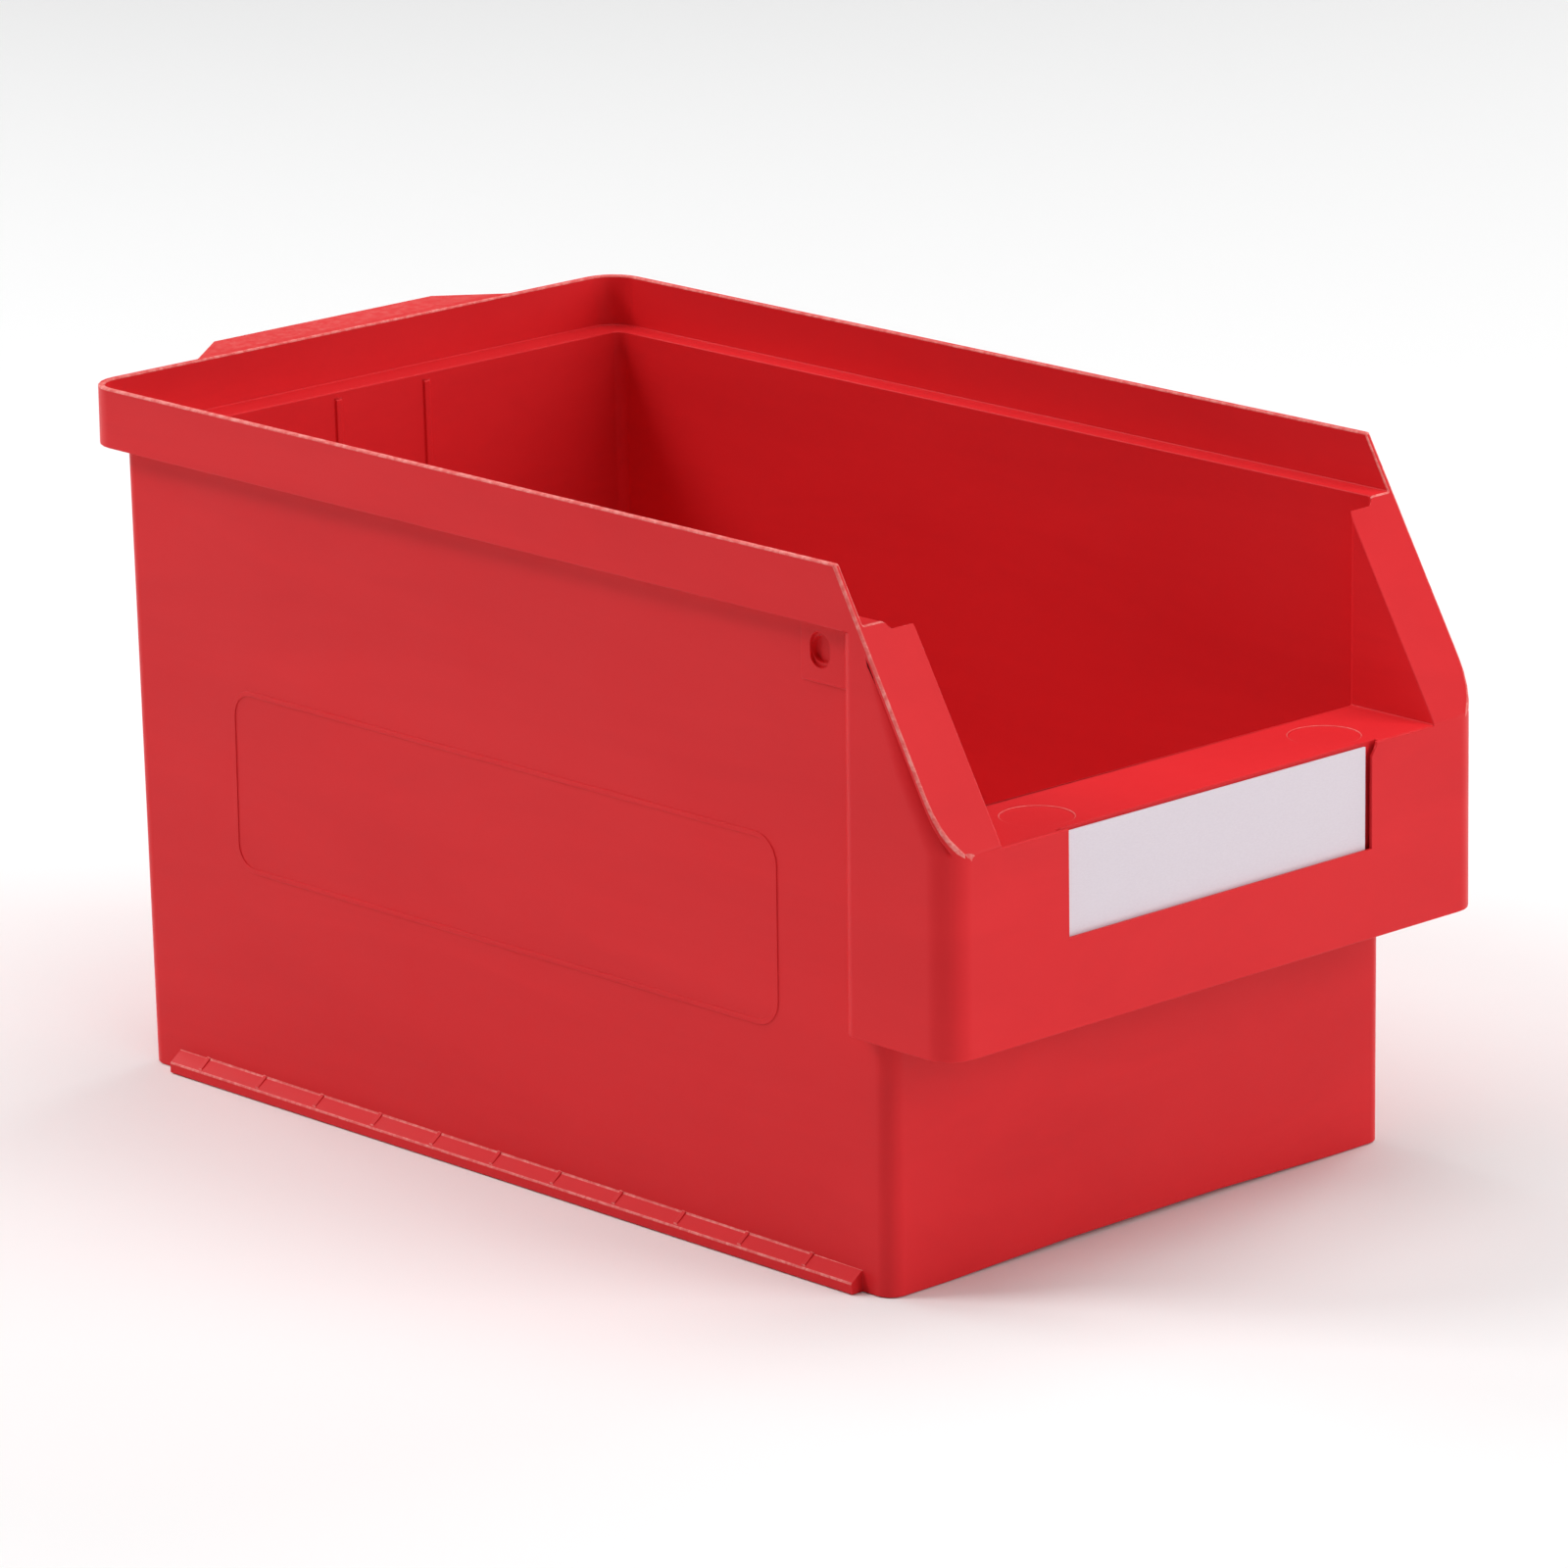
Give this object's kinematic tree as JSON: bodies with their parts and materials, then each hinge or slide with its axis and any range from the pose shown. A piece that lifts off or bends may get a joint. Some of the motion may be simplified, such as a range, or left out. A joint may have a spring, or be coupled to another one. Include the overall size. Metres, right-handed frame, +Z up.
{
  "type": "storage bin",
  "caption": "Open-front stackable storage bin with stacking collar, sloped front, hanging front apron, base rails, rear hanging lip and a slide-in label card.",
  "frame": {"origin": "middle of the bounding box on the floor the bin stands on", "axes": "+Z up, +X to the right seen from the front, front face towards -Y"},
  "size_m": [0.2058, 0.3632, 0.2],
  "materials": {
    "bin_body": "satin moulded polypropylene",
    "label_card": "matt card"
  },
  "bodies": {
    "bin": {"bin_body": "bin_body"},
    "card": {"label_card": "label_card"}
  },
  "joints": [
    {"name": "card_slide", "type": "slide", "parent": "bin", "child": "card", "axis": [0, 0, 1], "range_m": [0, 0.028]}
  ]
}
